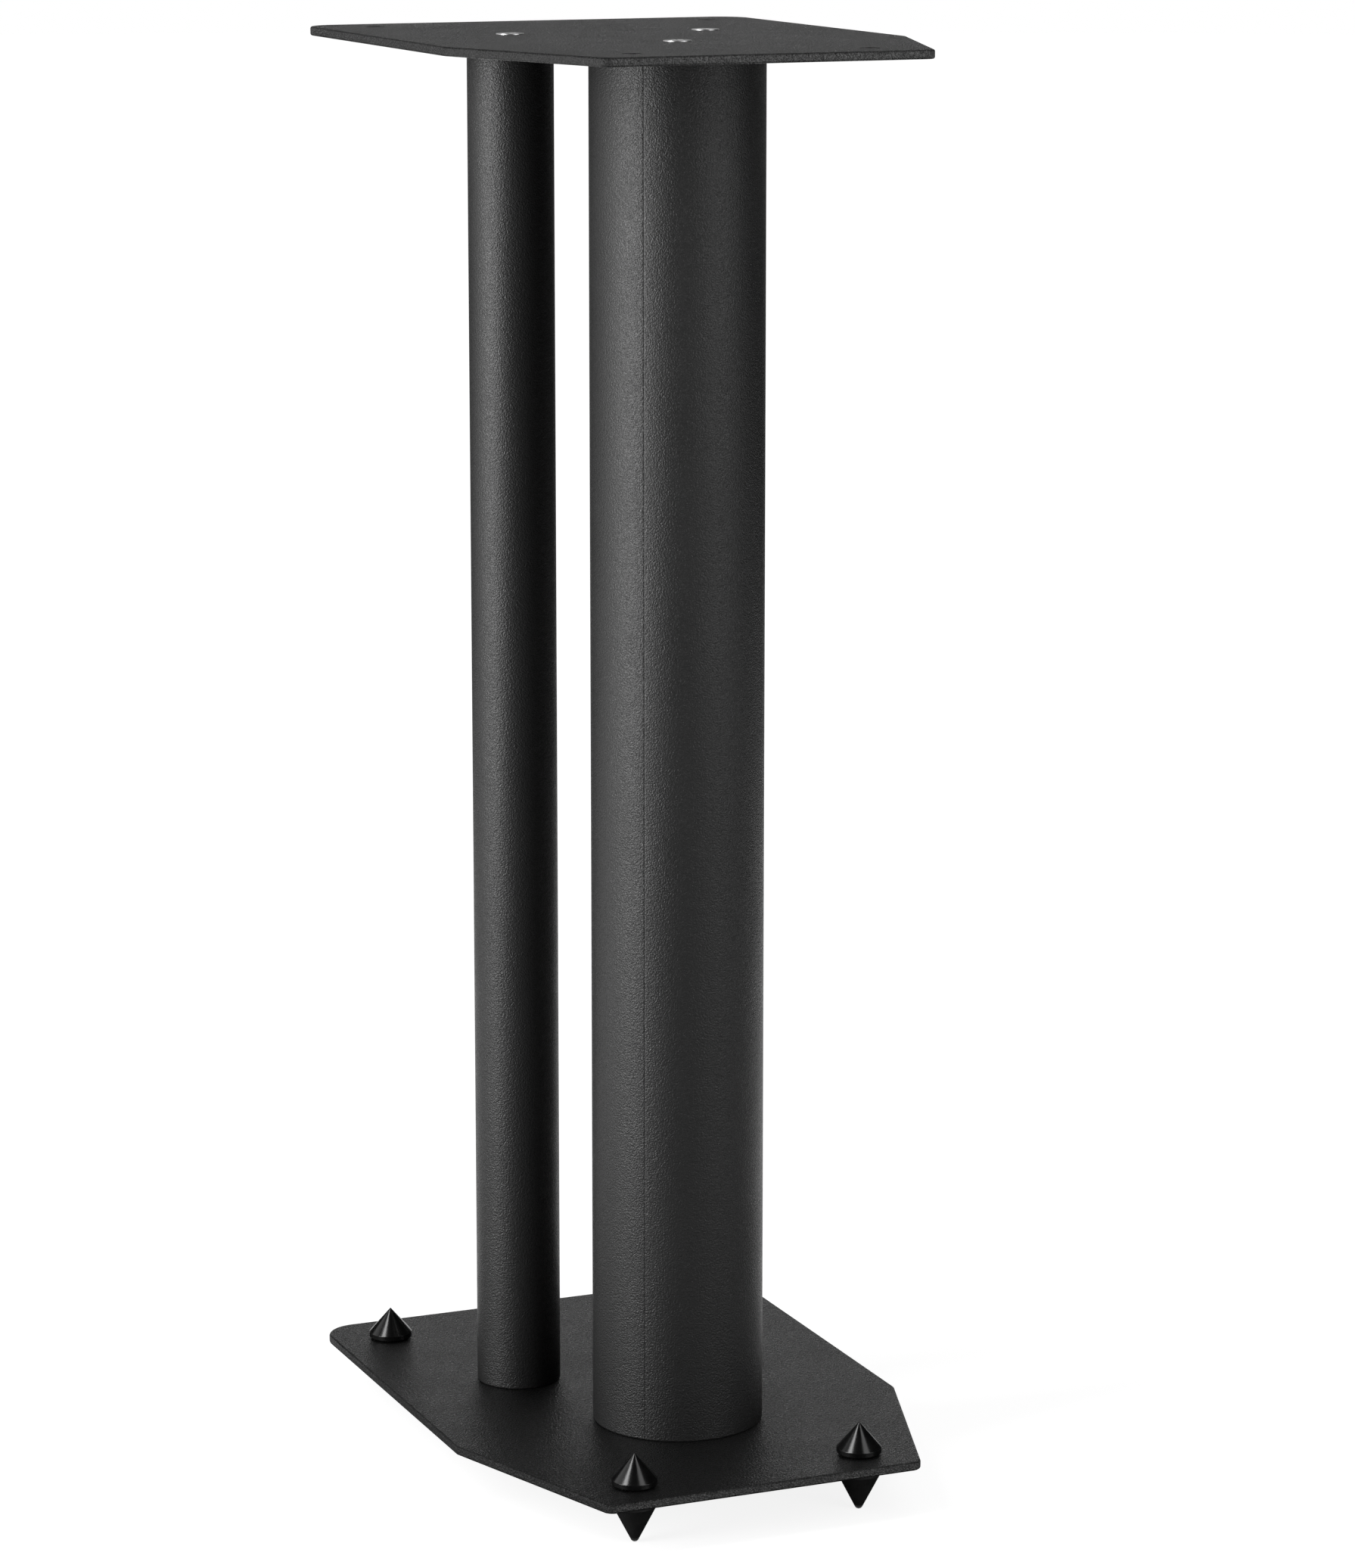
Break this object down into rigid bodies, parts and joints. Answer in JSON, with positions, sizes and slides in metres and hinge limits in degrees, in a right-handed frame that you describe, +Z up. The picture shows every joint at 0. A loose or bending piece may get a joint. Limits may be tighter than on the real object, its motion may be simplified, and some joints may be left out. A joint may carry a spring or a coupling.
{
  "type": "speaker stand",
  "caption": "Floor stand for a loudspeaker: a top and a base plate joined by a thick front column and thin rear columns, on adjustable spikes.",
  "frame": {"origin": "on the floor under the middle of the plates, at the spikes' tips", "axes": "+Z up; the front of the stand, with the thick column and the narrow edge of the plates, faces -Y; +X is to the right seen from the front"},
  "size_m": [0.214, 0.283, 0.6393],
  "materials": {
    "textured_black": "fine textured black powder coat, matt to satin",
    "gloss_black": "gloss black",
    "satin_black": "satin black",
    "bright_zinc": "bright zinc plate",
    "plain_steel": "plain turned steel"
  },
  "bodies": {
    "stand": {"top_plate": "textured_black", "base_plate": "textured_black", "front_column": "textured_black", "front_column_top_disc": "plain_steel", "front_column_top_screw": "bright_zinc", "front_column_bottom_disc": "plain_steel", "front_column_bottom_screw": "bright_zinc", "rear_column_left": "textured_black", "rear_column_left_top_disc": "plain_steel", "rear_column_left_top_screw": "bright_zinc", "rear_column_left_bottom_disc": "plain_steel", "rear_column_left_bottom_screw": "bright_zinc", "rear_column_right": "textured_black", "rear_column_right_top_disc": "plain_steel", "rear_column_right_top_screw": "bright_zinc", "rear_column_right_bottom_disc": "plain_steel", "rear_column_right_bottom_screw": "bright_zinc"},
    "stud_body_front_left": {"stud_front_left": "plain_steel"},
    "spike_body_front_left": {"floor_spike_front_left": "satin_black"},
    "cone_body_front_left": {"lock_cone_front_left": "gloss_black"},
    "stud_body_front_right": {"stud_front_right": "plain_steel"},
    "spike_body_front_right": {"floor_spike_front_right": "satin_black"},
    "cone_body_front_right": {"lock_cone_front_right": "gloss_black"},
    "stud_body_rear_left": {"stud_rear_left": "plain_steel"},
    "spike_body_rear_left": {"floor_spike_rear_left": "satin_black"},
    "cone_body_rear_left": {"lock_cone_rear_left": "gloss_black"},
    "stud_body_rear_right": {"stud_rear_right": "plain_steel"},
    "spike_body_rear_right": {"floor_spike_rear_right": "satin_black"},
    "cone_body_rear_right": {"lock_cone_rear_right": "gloss_black"}
  },
  "joints": [
    {"name": "level_front_left", "type": "slide", "parent": "stand", "child": "stud_body_front_left", "axis": [0, 0, 1], "range_m": [-0.003, 0.003]},
    {"name": "spike_turn_front_left", "type": "hinge", "parent": "stud_body_front_left", "child": "spike_body_front_left", "pos_m": [-0.0535, -0.1205, 0.0184], "axis": [0, 0, 1], "range_deg": [-870, 870]},
    {"name": "cone_turn_front_left", "type": "hinge", "parent": "stand", "child": "cone_body_front_left", "pos_m": [-0.0535, -0.1205, 0.0257], "axis": [0, 0, 1], "range_deg": [0, 90]},
    {"name": "level_front_right", "type": "slide", "parent": "stand", "child": "stud_body_front_right", "axis": [0, 0, 1], "range_m": [-0.003, 0.003]},
    {"name": "spike_turn_front_right", "type": "hinge", "parent": "stud_body_front_right", "child": "spike_body_front_right", "pos_m": [0.0535, -0.1205, 0.0184], "axis": [0, 0, 1], "range_deg": [-870, 870]},
    {"name": "cone_turn_front_right", "type": "hinge", "parent": "stand", "child": "cone_body_front_right", "pos_m": [0.0535, -0.1205, 0.0257], "axis": [0, 0, 1], "range_deg": [0, 90]},
    {"name": "level_rear_left", "type": "slide", "parent": "stand", "child": "stud_body_rear_left", "axis": [0, 0, 1], "range_m": [-0.003, 0.003]},
    {"name": "spike_turn_rear_left", "type": "hinge", "parent": "stud_body_rear_left", "child": "spike_body_rear_left", "pos_m": [-0.081, 0.1155, 0.0184], "axis": [0, 0, 1], "range_deg": [-870, 870]},
    {"name": "cone_turn_rear_left", "type": "hinge", "parent": "stand", "child": "cone_body_rear_left", "pos_m": [-0.081, 0.1155, 0.0257], "axis": [0, 0, 1], "range_deg": [0, 90]},
    {"name": "level_rear_right", "type": "slide", "parent": "stand", "child": "stud_body_rear_right", "axis": [0, 0, 1], "range_m": [-0.003, 0.003]},
    {"name": "spike_turn_rear_right", "type": "hinge", "parent": "stud_body_rear_right", "child": "spike_body_rear_right", "pos_m": [0.081, 0.1155, 0.0184], "axis": [0, 0, 1], "range_deg": [-870, 870]},
    {"name": "cone_turn_rear_right", "type": "hinge", "parent": "stand", "child": "cone_body_rear_right", "pos_m": [0.081, 0.1155, 0.0257], "axis": [0, 0, 1], "range_deg": [0, 90]}
  ],
  "couplings": [
    {"joint": "spike_turn_front_left", "follows": "level_front_left", "rad_per_m": 5026.5},
    {"joint": "spike_turn_front_right", "follows": "level_front_right", "rad_per_m": 5026.5},
    {"joint": "spike_turn_rear_left", "follows": "level_rear_left", "rad_per_m": 5026.5},
    {"joint": "spike_turn_rear_right", "follows": "level_rear_right", "rad_per_m": 5026.5}
  ]
}
